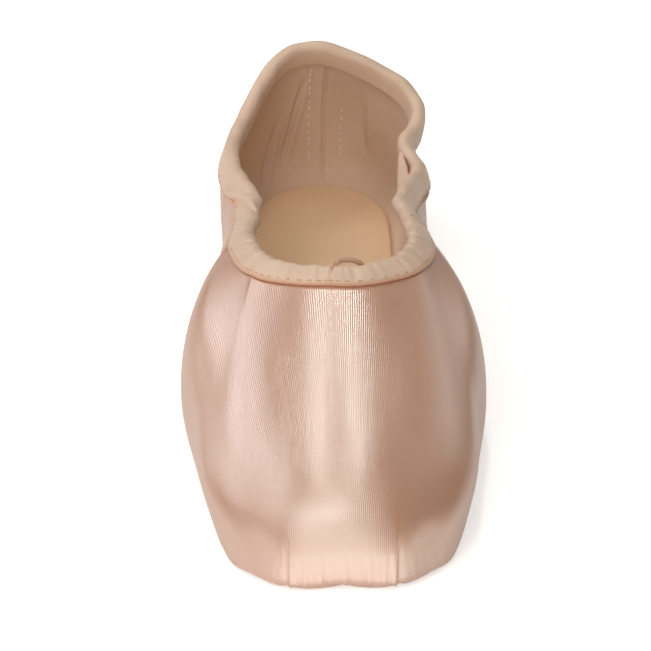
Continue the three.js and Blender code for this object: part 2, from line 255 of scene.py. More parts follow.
def sections_at(place):
    form, section = form_curve(place)
    right, along, height, lean, shoulder, crisp, edge, floor, under, under_along = form.T
    inward = inward_of(form_curve, place, 0, 1)
    rise = UP + inward * lean[:, None]
    wide = np.stack([right, along - LENGTH / 2, height], axis=-1)
    low = wide - rise * (height - floor - arch_lift(along))[:, None]
    feather_z = SOLE_THICKNESS + GAP + arch_lift(under_along)
    feather = np.stack([under, under_along - LENGTH / 2, feather_z], axis=-1)
    corner = wide + rise * shoulder[:, None]
    rim = rim_curve(place)[0]
    rim_inward = inward_of(rim_curve, place, 0, 1)
    lay = np.radians(rim[:, 3])[:, None]
    lay_way = rim_inward * np.cos(lay) + UP * np.sin(lay)
    rim_out = UP * np.cos(lay) - rim_inward * np.sin(lay)
    top = np.stack([rim[:, 0], rim[:, 1] - LENGTH / 2, rim[:, 2]], axis=-1)
    top = top + rim_inward * fold_push(section, np.ones(len(place)))[:, None]
    seam = top - lay_way * BINDING_WIDTH
    wide_out = unit(UP * lean[:, None] - inward)
    wall = BOX_WALL + (QUARTER_WALL - BOX_WALL) * smooth(70, 125, along)
    lining = dict(
        wide=wide - wide_out * wall[:, None],
        low=low + UP * QUARTER_WALL - wide_out * wall[:, None],
        feather=feather + UP * QUARTER_WALL,
        corner=corner_in(corner, wide_out, rim_out, wall),
        seam=seam - rim_out * QUARTER_WALL,
        crisp=np.minimum(crisp, 1.3), edge=np.minimum(edge, 1.0),
    )
    return dict(
        place=place, section=section, inward=inward, wide=wide, low=low, feather=feather, corner=corner,
        seam=seam, top=top, lay_way=lay_way, rim_out=rim_out, crisp=crisp, edge=edge, lining=lining,
        under_inward=inward_of(form_curve, place, 8, 9),
    )


def rounded_corner(start, corner, end, weight, t):
    a = (1 - t) ** 2
    b = 2 * t * (1 - t) * weight[:, None]
    c = t * t
    return (start * a + corner * b + end * c) / (a + b + c)


def under_ring(at, t):
    return rounded_corner(at["feather"], at["low"], at["wide"], at["edge"], t)


def side_ring(at, section, inward, t):
    push = fold_push(section, np.full(len(section), t)) * (1 - smooth(0.75, 1, t))
    return rounded_corner(at["wide"], at["corner"], at["seam"], at["crisp"], t) + inward * push[:, None]


def places_round(count, toe_share=2.2, heel_share=0.0):
    fine = np.linspace(0, loop_length, 4001)
    near_toe = np.minimum(fine, loop_length - fine)
    near_heel = np.abs(fine - places[half] - 3)
    density = 1 + toe_share * (1 - smooth(30, 60, near_toe))
    density = density + heel_share * (1 - smooth(12, 30, near_heel))
    run = np.concatenate([[0], np.cumsum((density[1:] + density[:-1]) / 2)])
    return np.interp(np.arange(count) / count, run / run[-1], fine)


check = sections_at(places_round(8))
print("section places:", np.round(check["section"], 2))

# %% [markdown]
# ## From rings to meshes
# Every cloth piece is a grid of rings. One helper turns a grid into a mesh with a UV map in
# metres of cloth, so that threads and ribs have a true scale on every piece.

# %% Grid helpers


def grid_normals(grid):
    up = np.gradient(grid, axis=0)
    wrapped = np.concatenate([grid[:, -1:], grid, grid[:, :1]], axis=1)
    round_way = (wrapped[:, 2:] - wrapped[:, :-2]) / 2
    return unit(np.cross(round_way, up) + 1e-12)


def grid_mesh(name, grid, cloth_uv, flip=False, close_up=False, close_round=True):
    rings, count = grid.shape[:2]
    index = np.arange(rings * count).reshape(rings, count)
    last = rings if close_up else rings - 1
    low = index[:last]
    high = index[(np.arange(last) + 1) % rings]
    quads = np.stack([low, np.roll(low, -1, 1), np.roll(high, -1, 1), high], axis=-1)
    quads = quads[:, :count if close_round else count - 1].reshape(-1, 4)
    if flip:
        quads = quads[:, ::-1]
    mesh = bpy.data.meshes.new(name)
    mesh.from_pydata((grid.reshape(-1, 3) * MM).tolist(), [], quads.tolist())
    layer = mesh.uv_layers.new(name="cloth")
    corners = np.empty(len(mesh.loops), dtype=np.int32)
    mesh.loops.foreach_get("vertex_index", corners)
    layer.data.foreach_set("uv", (cloth_uv.reshape(-1, 2)[corners] * MM).ravel().astype(np.float32))
    mesh.polygons.foreach_set("use_smooth", [True] * len(mesh.polygons))
    piece = bpy.data.objects.new(name, mesh)
    bpy.context.collection.objects.link(piece)
    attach(piece, "root")
    print(name, len(quads) * 2, "triangles")
    return piece


def ridge(distance, width):
    return np.exp(-((distance / width) ** 2))


def uneven(place, seed, waves):
    phase = np.random.default_rng(seed)
    total = np.zeros(np.shape(place))
    for length, height in waves:
        turns = max(1, round(loop_length / length))
        total += height * np.sin(2 * np.pi * turns * place / loop_length + phase.uniform(0, 6.28))
    return total


# %% [markdown]
# ## Satin upper
# The satin is pulled tight over the box, so most of it is smooth. It steps at both edges of the
# platform, where the cloth is folded back in pleats, gathers beside them, and fans into small
# pleats under the toe. The quarters behind are soft and hang in a few folds. These are given
# in the shoe's own sizes, as moves along the surface normal. On each side of the
# throat the last is a little hollow, and the tight cloth is eased across it.

# %% Satin grid
SATIN_ROUND = 720
satin_at = sections_at(places_round(SATIN_ROUND))
under_t = np.concatenate([np.linspace(0, 0.9, 26), [0.95]])
side_t = np.linspace(0, 1, 74)
satin_rings = [under_ring(satin_at, t) for t in under_t]
satin_rings += [side_ring(satin_at, satin_at["section"], satin_at["inward"], t) for t in side_t]
satin_rings += [satin_at["seam"] + satin_at["lay_way"] * h for h in (1.5, 3.5, 5.5)]
satin = np.stack(satin_rings)
wall_rise = np.concatenate([under_t - 1, side_t, [1.1, 1.2, 1.3]])[:, None]
print("satin grid", satin.shape)

# %% Platform folds, pleats and seams
PANEL_LIFT = 0.6
CREASE_DEPTHS = (0.2, 0.25)
SET_BACK = 0.9
TUCK_DEPTH = 0.12
GATHER_DEPTH = 0.07
# right, depth, width
DIMPLES = ((-11.8, 0.3, 2.2), (11.4, 0.2, 2.0))
DIMPLE_HEIGHT = 4
# sections where seams run, and the millimetres from one section to the next there
SIDE_SEAMS, SIDE_STEP = (6.25, 15.85), 33
BACK_SEAM, BACK_STEP = 11, 18
SEAM_DEPTH = 0.35
# small pleats under the toe fan out from a point behind it
FAN_CENTRE = 84
FAN_PLEATS = 8.5
FAN_DEPTH = 0.7


def platform_move(points):
    x, z = points[..., 0], points[..., 2]
    front = smooth(-101, -110, points[..., 1])
    low = 1 - smooth(9, 18, z)
    above_floor = smooth(0.5, 3, z)
    left_edge = -14.1 - 3.8 * smooth(9, 27, z)
    right_edge = 14.0 + 0.5 * smooth(0, 26, z)
    past_left, past_right = left_edge - x, x - right_edge
    past = np.maximum(past_left, past_right)
    panel = smooth(-0.4, 0.4, -past_left) * smooth(-0.4, 0.4, -past_right)
    creases = sum(d * ridge(p - 0.8, 0.7) for d, p in zip(CREASE_DEPTHS, (past_left, past_right)))
    set_back = SET_BACK * smooth(0, 8, past) * (1 - smooth(8, 17, past))
    tucks = TUCK_DEPTH * (np.sin(2 * np.pi * x / 3.3 + 1) + np.sin(2 * np.pi * x / 2.1))
    tucks = tucks * panel * above_floor * (1 - smooth(3, 12, z))
    gathers = GATHER_DEPTH * np.sin(2 * np.pi * (x + 0.12 * z) / 2.7)
    gathers = gathers * smooth(1, 4, past) * (1 - smooth(14, 18, past))
    gathers = gathers * above_floor * (1 - smooth(3, 10, z))
    dimples = sum(d * ridge(np.hypot(x - right, z - DIMPLE_HEIGHT), w) for right, d, w in DIMPLES)
    return front * ((PANEL_LIFT * panel - creases - set_back) * low + tucks + gathers - dimples)


def underside_move(points, rise):
    angle = np.arctan2(points[..., 0], -(points[..., 1] + FAN_CENTRE))
    fan = np.abs(np.sin(FAN_PLEATS * angle)) ** 0.6
    window = smooth(-0.98, -0.75, rise) * (1 - smooth(-0.42, -0.2, rise))
    window = window * (1 - smooth(1.0, 1.25, np.abs(angle)))
    return FAN_DEPTH * (fan - 0.6) * window * (points[..., 1] < -60)


def seam_move(section, rise):
    above = smooth(-0.9, -0.5, rise)
    sides = sum(ridge((section - seam) * SIDE_STEP, 0.7) for seam in SIDE_SEAMS)
    back = ridge((section - BACK_SEAM) * BACK_STEP, 0.8)
    return -SEAM_DEPTH * above * (sides + back)


# %% Cloth eased across the hollows beside the throat
EASING_ROUNDS = 160
EASING_SHARE = 0.8
FLOOR_CLEARANCE = 0.02


def shoulder_move(points, rise):
    x, y = points[..., 0], points[..., 1]
    left = 0.7 * ridge(-x - 27.6 - 0.08 * np.maximum(0, -28 - y), 5.0) * smooth(-60, -28, y)
    right = 0.6 * ridge(x - 31.3, 4.4) * smooth(-48, -22, y)
    up_the_wall = smooth(0.05, 0.3, rise) * (1 - smooth(0.93, 1, rise))
    return (left + right) * (1 - smooth(-16, -4, y)) * up_the_wall


def ease_shoulders(grid):
    filled = grid + grid_normals(grid) * shoulder_move(grid, wall_rise)[..., None]
    x, y = grid[..., 0], grid[..., 1]
    share = np.exp(-((np.abs(x) - 27) / 9) ** 2) * smooth(-64, -46, y) * (1 - smooth(-18, -6, y))
    share = EASING_SHARE * share * smooth(0.1, 0.3, wall_rise) * (1 - smooth(0.94, 1, wall_rise))
    for _ in range(EASING_ROUNDS):
        padded = np.pad(filled, ((1, 1), (0, 0), (0, 0)), mode="edge")
        middle = (padded[:-2] + padded[2:] + np.roll(filled, 1, 1) + np.roll(filled, -1, 1)) / 4
        filled = filled + share[..., None] * (middle - filled)
    return filled


pulled_tight = satin.copy()
satin = ease_shoulders(satin)
print("shoulders eased", round(float(np.linalg.norm(satin - pulled_tight, axis=-1).max()), 2), "mm")
satin_normals = grid_normals(satin)
satin_section = satin_at["section"][None, :]
satin_move = platform_move(satin) + underside_move(satin, wall_rise)
satin_move += seam_move(satin_section, wall_rise)
behind_ball = smooth(100, 150, satin[..., 1] + LENGTH / 2)
slack = behind_ball * smooth(0.0, 0.5, wall_rise) * (1 - smooth(0.9, 1, wall_rise))
satin_move += slack * uneven(satin_at["place"], 3, [(34, 0.25), (21, 0.2), (13, 0.12)])[None, :]
satin = satin + satin_normals * satin_move[..., None]
satin[..., 2] = np.maximum(satin[..., 2], FLOOR_CLEARANCE)

# %% Cloth coordinates: across the threads and along them


def cloth_uv_of(points):
    x, y, z = points[..., 0], points[..., 1], points[..., 2]
    round_way = 40 * np.arctan2(x, 1.2 * (z - 4))
    far = smooth(-112, -84, y)
    across = x * (1 - far) + round_way * far
    along = y - (26 - z) * smooth(-98, -116, y)
    return np.stack([across, along], axis=-1)


satin_piece = grid_mesh("satin_upper", satin, cloth_uv_of(pulled_tight))
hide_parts("upper")

# %% [markdown]
# ## Drill lining
# Inside, the wall is faced with cotton drill. It is the same wall moved in by its thickness. Its
# ends are butted at the middle of the heel, in a low seam with a fine groove, and it lies slack in
# a few creases beside it.

# %% Lining grid
LINING_ROUND = 480
lining_at = sections_at(places_round(LINING_ROUND, 0.0, 5.0))
lining_wall = lining_at["lining"]
lining_under_t = np.linspace(0, 0.95, 16)
lining_t = np.linspace(0, 1, 50)
lining_rings = [under_ring(lining_wall, t) for t in lining_under_t]
lining_rings += [side_ring(lining_wall, lining_at["section"], lining_at["inward"], t) for t in lining_t]
lining_rings += [lining_wall["seam"] + lining_at["lay_way"] * h for h in (1, 2, 4, 6)]
lining = np.stack(lining_rings)
lining_rise = np.concatenate([lining_under_t - 1, lining_t, [1.1, 1.15, 1.2, 1.3]])[:, None]
lining_normals = -grid_normals(lining)
section = lining_at["section"][None, :]
# where a crease runs: section and rise at its top, then at its foot, depth, width
CREASES = (
    (11.30, 0.62, 11.68, -0.30, 1.3, 0.9),
    (11.76, 0.25, 12.16, -0.56, 1.2, 1.0),
    (10.30, 0.55, 10.12, -0.10, 0.5, 1.4),
)
LINING_SEAM = 10.92
SEAM_RAISED, GROOVE_DEPTH = 0.35, 0.9
seam_at = (section - LINING_SEAM) * BACK_STEP
lining_move = SEAM_RAISED * ridge(seam_at, 1.8) - GROOVE_DEPTH * ridge(seam_at, 0.45)
lining_move = lining_move * smooth(-0.75, -0.5, lining_rise)
for top, top_rise, foot, foot_rise, depth, width in CREASES:
    share = (top_rise - lining_rise) / (top_rise - foot_rise)
    line = top + (foot - top) * share
    fade = smooth(-0.25, 0.25, share) * (1 - smooth(0.8, 1.15, share))
    away = (section - line) * BACK_STEP
    lining_move += fade * depth * (0.6 * ridge(away + 1.6 * width, 1.5 * width) - ridge(away, width))
ripple = 0.25 * uneven(lining_at["place"], 11, [(31, 0.5), (17, 0.4)])[None, :]
lining_move += ripple * smooth(0, 0.5, lining_rise)
lining = lining + lining_normals * lining_move[..., None]
lining_uv = np.stack(np.broadcast_arrays(lining_at["place"][None, :], lining_rise * 34), axis=-1)
lining_piece = grid_mesh("drill_lining", lining, lining_uv, flip=True)

# %% [markdown]
# ## Collar casing
# The collar is bound with a folded strip of satin that holds the drawstring. Its section is a flat
# tube folded over the wall's top edge. Because the string draws it in, the strip puckers all
# the way round, most at the front where it is gathered to the opening.

# %% Casing section and grid
OUT = 1.4
IN = -QUARTER_WALL - 1.4
CASING_SECTION = np.array([
    [0.2, 0.25], [0.15, 0.8], [0.5, 1.25], [1.5, OUT], [3.0, OUT + 0.1], [4.8, OUT + 0.1], [6.4, OUT],
    [7.4, 0.8], [7.95, -0.1], [8.05, -1.0], [7.8, -1.9], [7.2, -2.6], [6.2, IN], [4.5, IN - 0.1],
    [2.5, IN], [1.0, IN + 0.1], [0.4, IN + 0.5], [0.3, -1.9],
])
# where a crease starts on the lower edge, how it slants, depth, half width
CASING_CREASES = (
    (371, 3.4, 0.9, 0.8), (440, 1.6, 0.4, 0.6), (139, -1.2, 0.8, 0.9), (98, -2.2, 0.35, 0.8),
)
CASING_ROUND = 900
casing_at = sections_at(places_round(CASING_ROUND, 0.6))


def finer(rows, times):
    last, after, next_after = np.roll(rows, 1, 0), np.roll(rows, -1, 0), np.roll(rows, -2, 0)
    t = (np.arange(times) / times)[None, :, None]
    a, b, c, d = (r[:, None] for r in (last, rows, after, next_after))
    return blend_through(a, b, c, d, t).reshape(-1, 2)


def casing_ring(up, out):
    place = casing_at["place"]
    near_front = np.minimum(place, loop_length - place)
    gathered = 0.35 + 0.65 * (1 - smooth(20, 60, near_front))
    pucker = uneven(place, 5, [(6.5, 0.06), (4.1, 0.06), (9.7, 0.06)]) * gathered
    slack = uneven(place, 8, [(23, 0.12), (15, 0.10)])
    outer = smooth(-1.5, 0.5, out)
    middle = np.sin(np.pi * np.clip(up / BINDING_WIDTH, 0, 1))
    swell = (pucker + slack) * middle * (1.0 if out > -0.8 else 0.8)
    tuck = 1.6 * ridge(place - np.round(place / loop_length) * loop_length - 0.9, 1.1) * outer
    tuck = tuck * smooth(3.0, 8.0, up)
    for foot, slant, depth, spread in CASING_CREASES:
        away = (place - foot - slant * up) / math.hypot(1, slant)
        tuck = tuck + depth * outer * (ridge(away, spread) - 0.7 * ridge(away + 2 * spread, 1.6 * spread))
    width = 1 + 0.04 * uneven(place, 9, [(19, 0.6), (11, 0.5)])
    out_now = out + np.sign(out + 0.8) * swell
    points = casing_at["seam"] + casing_at["lay_way"] * (up * width)[:, None]
    return points + casing_at["rim_out"] * (out_now - tuck)[:, None]


casing_rows = finer(CASING_SECTION, 2)
casing = np.stack([casing_ring(up, out) for up, out in casing_rows])
girth = np.concatenate([[0], np.cumsum(np.linalg.norm(np.diff(casing_rows, axis=0), axis=1))])
casing_uv = np.stack(np.broadcast_arrays(casing_at["place"][None, :] * 0.6, girth[:, None]), axis=-1)
casing_piece = grid_mesh("collar_casing", casing, casing_uv, close_up=True)
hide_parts("collar_binding")

# %% [markdown]
# At the right the slack collar folds in on itself. The casing's inner layer bridges the fold as a
# small facing, and a coral thread shows along its top.

# %% Facing in the right fold
# along, right, height, reach towards the middle
FACING = np.array([
    [74, 24.2, 35.9, 0.3], [67, 24.3, 35.4, 1.5], [59, 24.9, 35.6, 2.7], [50, 24.9, 36.7, 3.2],
    [42, 24.4, 37.8, 3.0], [36, 23.4, 38.4, 2.0], [30, 21.6, 38.7, 0.6],
])
# share of the reach, drop
FACING_SECTION = ((0, 0), (0.45, 0.2), (0.8, 0.7), (1.0, 1.5), (0.97, 2.6), (0.75, 4.2), (0.5, 6.5))
FACING_ROUND = 60


def along_facing(column):
    step = np.linspace(0, len(FACING) - 1, FACING_ROUND)
    before = np.clip(step.astype(int), 0, len(FACING) - 2)
    share = smooth(0, 1, step - before)
    return FACING[before, column] * (1 - share) + FACING[before + 1, column] * share


fold_line = np.stack([along_facing(1), along_facing(0), along_facing(2)], axis=-1)
facing = np.stack([
    fold_line + np.outer(along_facing(3), [-share, 0, -drop / 3]) for share, drop in FACING_SECTION
])
facing_down = np.arange(len(facing))[:, None] * 1.5
facing_uv = np.stack(np.broadcast_arrays(fold_line[None, :, 1], facing_down), axis=-1)
facing_piece = grid_mesh("fold_facing", facing, facing_uv, close_round=False)
facing_thread = cord_through("facing_thread", (fold_line[10:44:3] + [0, 0, 0.15]) * MM, 0.4 * MM)
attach(facing_thread, "root")

# %% [markdown]
# ## Piping and stitches
# A thin coral thread of piping lies in the seam under the casing, and small stitches hold it. Both
# follow the seam of the same sections, so they sit in it all the way round. Two rows of
# pale stitches hold the lining at the middle of the heel.

# %% Piping
PIPING_ROUND = 520
PIPING_RADIUS = 0.4
PIPING_UP, PIPING_OUT = 0.05, 0.75
piping_at = sections_at(places_round(PIPING_ROUND, 0.6))
piping_turns = np.linspace(0, 2 * np.pi, 8, endpoint=False)
piping_path = piping_at["seam"] + piping_at["lay_way"] * PIPING_UP + piping_at["rim_out"] * PIPING_OUT
piping = np.stack([
    piping_path + PIPING_RADIUS * (np.cos(a) * piping_at["lay_way"] + np.sin(a) * piping_at["rim_out"])
    for a in piping_turns
])
piping_uv = np.stack(np.broadcast_arrays(piping_at["place"][None, :], piping_turns[:, None] * 0.5), axis=-1)
piping_piece = grid_mesh("seam_piping", piping, piping_uv, flip=True, close_up=True)

# %% Stitches
SEAM_STITCH_STEP = 4.4
# offset from the middle of the heel, rise of the lowest and of the highest stitch, count
LINING_STITCH_ROWS = ((-3.0, -0.24, 0.88, 14), (7.2, -0.2, 0.36, 7))


def stitch_row(name, middles, ways, normals, length, width):
    ring_count, side_count = 7, 6
    turn = np.linspace(0, 2 * np.pi, side_count, endpoint=False)
    steps = np.linspace(-1, 1, ring_count)
    vertices, faces = [], []
    for middle, way, normal in zip(middles, ways, normals):
        side = np.cross(way, normal)
        start = len(vertices)
        for s in steps:
            radius = width / 2 * math.sqrt(max(0.05, 1 - s * s))
            lift = normal * (width * 0.35 * (1 - s * s))
            for a in turn:
                off = radius * (math.cos(a) * side + 0.7 * math.sin(a) * normal)
                vertices.append(middle + way * (s * length / 2) + lift + off)
        for r in range(ring_count - 1):
            for k in range(side_count):
                a, b = start + r * side_count + k, start + r * side_count + (k + 1) % side_count
                faces.append((a, b, b + side_count, a + side_count))
        faces.append(tuple(start + k for k in reversed(range(side_count))))
        faces.append(tuple(start + (ring_count - 1) * side_count + k for k in range(side_count)))
    mesh = bpy.data.meshes.new(name)
    mesh.from_pydata((np.array(vertices) * MM).tolist(), [], faces)
    mesh.polygons.foreach_set("use_smooth", [True] * len(mesh.polygons))
    piece = bpy.data.objects.new(name, mesh)
    bpy.context.collection.objects.link(piece)
    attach(piece, "root")
    print(name, len(middles), "stitches")
    return piece


def seam_stitches():
    at = sections_at(np.arange(0, loop_length, SEAM_STITCH_STEP))
    middles = at["seam"] + at["lay_way"] * 0.95 + at["rim_out"] * (OUT - 0.1)
    ways = unit(np.roll(middles, -1, 0) - middles)
    return stitch_row("casing_stitches", middles, ways, at["rim_out"], 1.5, 0.4)


def lining_stitches():
    rows, ways, normals = [], [], []
    tangent_up = unit(np.gradient(lining, axis=0))
    for offset, start, end, count in LINING_STITCH_ROWS:
        from_middle = (lining_at["section"] - BACK_SEAM) * BACK_STEP
        column = int(np.argmin(np.abs(from_middle + offset)))
        for rise in np.linspace(start, end, count):
            ring = int(np.argmin(np.abs(lining_rise[:, 0] - rise)))
            rows.append(lining[ring, column] + lining_normals[ring, column] * 0.1)
            ways.append(tangent_up[ring, column])
            normals.append(lining_normals[ring, column])
    return stitch_row("lining_stitches", rows, ways, normals, 1.3, 0.6)


casing_stitch_piece = seam_stitches()
lining_stitch_piece = lining_stitches()

# %% [markdown]
# ## Insole and outsole
# Both are plates cut to the line where the upper turns in. The insole is a smooth tan board
# with a light crown. The outsole is leather, skived thin towards its edge, with an arch under
# the waist, so that the shoe stands on its heel and forefoot.

# %% Plates
PLATE_ROUND = 240
SOLE_COVER = 2.3
# inset, height
OUTSOLE_EDGE = (
    (0.9, 0.0), (0.5, 0.06), (0.15, 0.3), (0.0, 0.7), (0.0, 1.3), (0.12, 1.65), (0.5, 1.85), (3.5, 2.4),
)
# inset, height over the insole's floor
INSOLE_EDGE = ((0.3, 0.0), (0.0, 0.4), (0.0, 1.1), (0.2, 1.4), (0.6, 1.56), (1.2, 1.6))
INSOLE_FLOOR = SOLE_THICKNESS + GAP + QUARTER_WALL + 1.5 * GAP
INSOLE_CROWN = 0.6
# how far in from the edge the points of a plate's faces lie
SPINE_SHARES = (0.12, 0.3, 0.5, 0.7, 0.88, 1.0)
plate_at = sections_at(np.arange(PLATE_ROUND) * loop_length / PLATE_ROUND)


def outline(cover, inset, height):
    points = plate_at["feather"] - plate_at["under_inward"] * (cover - inset)[:, None]
    points[:, 2] = height + arch_lift(points[:, 1] + LENGTH / 2)
    return points


def to_spine(ring, share, crown):
    near, far = ring[:, 1].min() + 16, ring[:, 1].max() - 16
    spine = np.stack([np.zeros(len(ring)), np.clip(ring[:, 1], near, far), ring[:, 2]], axis=-1)
    spine[:, 2] += arch_lift(spine[:, 1] + LENGTH / 2) - arch_lift(ring[:, 1] + LENGTH / 2)
    points = ring + (spine - ring) * share
    points[:, 2] += crown * smooth(0, 1, share)
    return points


def plate_piece(name, edge_rings, crown):
    bottom, top = edge_rings[0], edge_rings[-1]
    rings = [to_spine(bottom, share, 0) for share in reversed(SPINE_SHARES)] + edge_rings
    rings += [to_spine(top, share, crown) for share in SPINE_SHARES]
    grid = np.stack(rings)
    return grid_mesh(name, grid, grid[..., :2])


sole_cover = np.full(PLATE_ROUND, SOLE_COVER)
sole_rings = [outline(sole_cover, inset, height) for inset, height in OUTSOLE_EDGE]
outsole_piece = plate_piece("leather_outsole", sole_rings, 0)
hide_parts("outsole")
board_cover = 1 + 5 * (1 - smooth(2, 34, plate_at["wide"][:, 1] + LENGTH / 2))
board_rings = [outline(board_cover, inset, INSOLE_FLOOR + height) for inset, height in INSOLE_EDGE]
insole_piece = plate_piece("board_insole", board_rings, INSOLE_CROWN)
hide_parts("insole")

# %% [markdown]
# ## Finishes
# Satin, drill, board, leather and thread each have their own material. Effects that several of them
# share are node groups, made once: threads with a true spacing, and a cloudy tone that keeps a
# large surface from looking flat.

# %% Shared node groups
FULL_TURN = 6.283
WANDER_SCALE, SLUB_SCALE, GRAIN_SCALE = 260.0, 0.55, 2200.0


def new_group(name, inputs, outputs):
    group = bpy.data.node_groups.new(name, "ShaderNodeTree")
    for label, kind, value in inputs:
        socket = group.interface.new_socket(label, in_out="INPUT", socket_type=kind)
        if value is not None:
            socket.default_value = value
    for label, kind in outputs:
        group.interface.new_socket(label, in_out="OUTPUT", socket_type=kind)
    return group, group.nodes.new("NodeGroupInput"), group.nodes.new("NodeGroupOutput")


def node(tree, kind, **settings):
    made = tree.nodes.new(kind)
    for key, value in settings.items():
        setattr(made, key, value)
    return made


def math_node(tree, operation, a, b=None):
    made = node(tree, "ShaderNodeMath", operation=operation)
    for socket, value in zip(made.inputs, (a, b)):
        if value is None:
            continue
        if isinstance(value, (int, float)):
            socket.default_value = value
        else:
            tree.links.new(value, socket)
    return made.outputs[0]


def threads_group():
    group, into, out = new_group("threads", [
        ("Vector", "NodeSocketVector", None), ("Across per metre", "NodeSocketFloat", 2000.0),
        ("Along per metre", "NodeSocketFloat", 900.0), ("Unevenness", "NodeSocketFloat", 0.4),
        ("Grain", "NodeSocketFloat", 0.0),
    ], [("Height", "NodeSocketFloat"), ("Slub", "NodeSocketFloat")])
    link = group.links.new
    split = node(group, "ShaderNodeSeparateXYZ")
    link(into.outputs["Vector"], split.inputs[0])
    wander = node(group, "ShaderNodeTexNoise", noise_dimensions="2D")
    wander.inputs["Scale"].default_value = WANDER_SCALE
    wander.inputs["Detail"].default_value = 2.0
    link(into.outputs["Vector"], wander.inputs["Vector"])
    shift = math_node(group, "MULTIPLY", wander.outputs["Fac"], into.outputs["Unevenness"])
    across = math_node(group, "MULTIPLY", split.outputs["X"], into.outputs["Across per metre"])
    along = math_node(group, "MULTIPLY", split.outputs["Y"], into.outputs["Along per metre"])

    def wave(count):
        turns = math_node(group, "ADD", count, shift)
        return math_node(group, "SINE", math_node(group, "MULTIPLY", turns, FULL_TURN))

    rib, tick = wave(across), wave(along)
    height = math_node(group, "ADD", rib, math_node(group, "MULTIPLY", tick, 0.35))
    stretch = node(group, "ShaderNodeCombineXYZ")
    link(across, stretch.inputs["X"])
    link(math_node(group, "MULTIPLY", along, 0.02), stretch.inputs["Y"])
    slub = node(group, "ShaderNodeTexNoise", noise_dimensions="2D")
    slub.inputs["Scale"].default_value = SLUB_SCALE
    slub.inputs["Detail"].default_value = 3.0
    link(stretch.outputs[0], slub.inputs["Vector"])
    grain = node(group, "ShaderNodeTexNoise", noise_dimensions="2D")
    grain.inputs["Scale"].default_value = GRAIN_SCALE
    grain.inputs["Detail"].default_value = 2.0
    link(into.outputs["Vector"], grain.inputs["Vector"])
    grainy = math_node(group, "MULTIPLY", grain.outputs["Fac"], into.outputs["Grain"])
    link(math_node(group, "ADD", height, grainy), out.inputs["Height"])
    link(slub.outputs["Fac"], out.inputs["Slub"])
    return group


def tone_group():
    group, into, out = new_group("cloudy_tone", [
        ("Vector", "NodeSocketVector", None), ("Light", "NodeSocketColor", (1, 1, 1, 1)),
        ("Dark", "NodeSocketColor", (0, 0, 0, 1)), ("Scale", "NodeSocketFloat", 60.0),
    ], [("Color", "NodeSocketColor"), ("Cloud", "NodeSocketFloat")])
    link = group.links.new
    cloud = node(group, "ShaderNodeTexNoise")
    cloud.inputs["Detail"].default_value = 5.0
    cloud.inputs["Roughness"].default_value = 0.6
    link(into.outputs["Vector"], cloud.inputs["Vector"])
    link(into.outputs["Scale"], cloud.inputs["Scale"])
    spread = node(group, "ShaderNodeMapRange")
    spread.inputs["From Min"].default_value = 0.15
    spread.inputs["From Max"].default_value = 0.85
    link(cloud.outputs["Fac"], spread.inputs["Value"])
    mix = node(group, "ShaderNodeMix", data_type="RGBA")
    link(spread.outputs[0], mix.inputs["Factor"])
    link(into.outputs["Dark"], mix.inputs["A"])
    link(into.outputs["Light"], mix.inputs["B"])
    mixed = [s for s in mix.outputs if s.type == "RGBA"][0]
    link(mixed, out.inputs["Color"])
    link(spread.outputs[0], out.inputs["Cloud"])
    return group


threads = threads_group()
cloudy_tone = tone_group()
print("node groups:", threads.name, cloudy_tone.name)

# %% [markdown]
# A cloth material reads the cloth coordinates for its threads and the object's own coordinates for
# its tone. Numbers that are the same all over, such as sheen, are set on the shader itself.

# %% Materials
THREAD_RELIEF = 0.0001


def place_group(tree, group, **values):
    made = node(tree, "ShaderNodeGroup", node_tree=group)
    for label, value in values.items():
        made.inputs[label.replace("_", " ")].default_value = value
    return made


def finish_material(name, light, dark, tone_scale, rough, settings):
    material = bpy.data.materials.new(name)
    material.use_nodes = True
    tree = material.node_tree
    shader = tree.nodes["Principled BSDF"]
    for label, value in settings.items():
        shader.inputs[label].default_value = value
    spot = node(tree, "ShaderNodeTexCoord")
    tone = place_group(tree, cloudy_tone, Light=(*light, 1), Dark=(*dark, 1), Scale=tone_scale)
    tree.links.new(spot.outputs["Object"], tone.inputs["Vector"])
    tree.links.new(tone.outputs["Color"], shader.inputs["Base Color"])
    gloss = node(tree, "ShaderNodeMapRange")
    gloss.inputs["To Min"].default_value = rough[0]
    gloss.inputs["To Max"].default_value = rough[1]
    tree.links.new(tone.outputs["Cloud"], gloss.inputs["Value"])
    tree.links.new(gloss.outputs[0], shader.inputs["Roughness"])
    return material, tree, shader


def add_threads(tree, shader, across, along, unevenness, strength, grain):
    cloth = node(tree, "ShaderNodeUVMap", uv_map="cloth")
    weave = place_group(tree, threads, Across_per_metre=across, Along_per_metre=along,
                        Unevenness=unevenness, Grain=grain)
    tree.links.new(cloth.outputs["UV"], weave.inputs["Vector"])
    slubs = math_node(tree, "MULTIPLY", weave.outputs["Slub"], 2.0)
    both = math_node(tree, "ADD", weave.outputs["Height"], slubs)
    bump = node(tree, "ShaderNodeBump")
    bump.inputs["Strength"].default_value = strength
    bump.inputs["Distance"].default_value = THREAD_RELIEF
    tree.links.new(both, bump.inputs["Height"])
    tree.links.new(bump.outputs["Normal"], shader.inputs["Normal"])


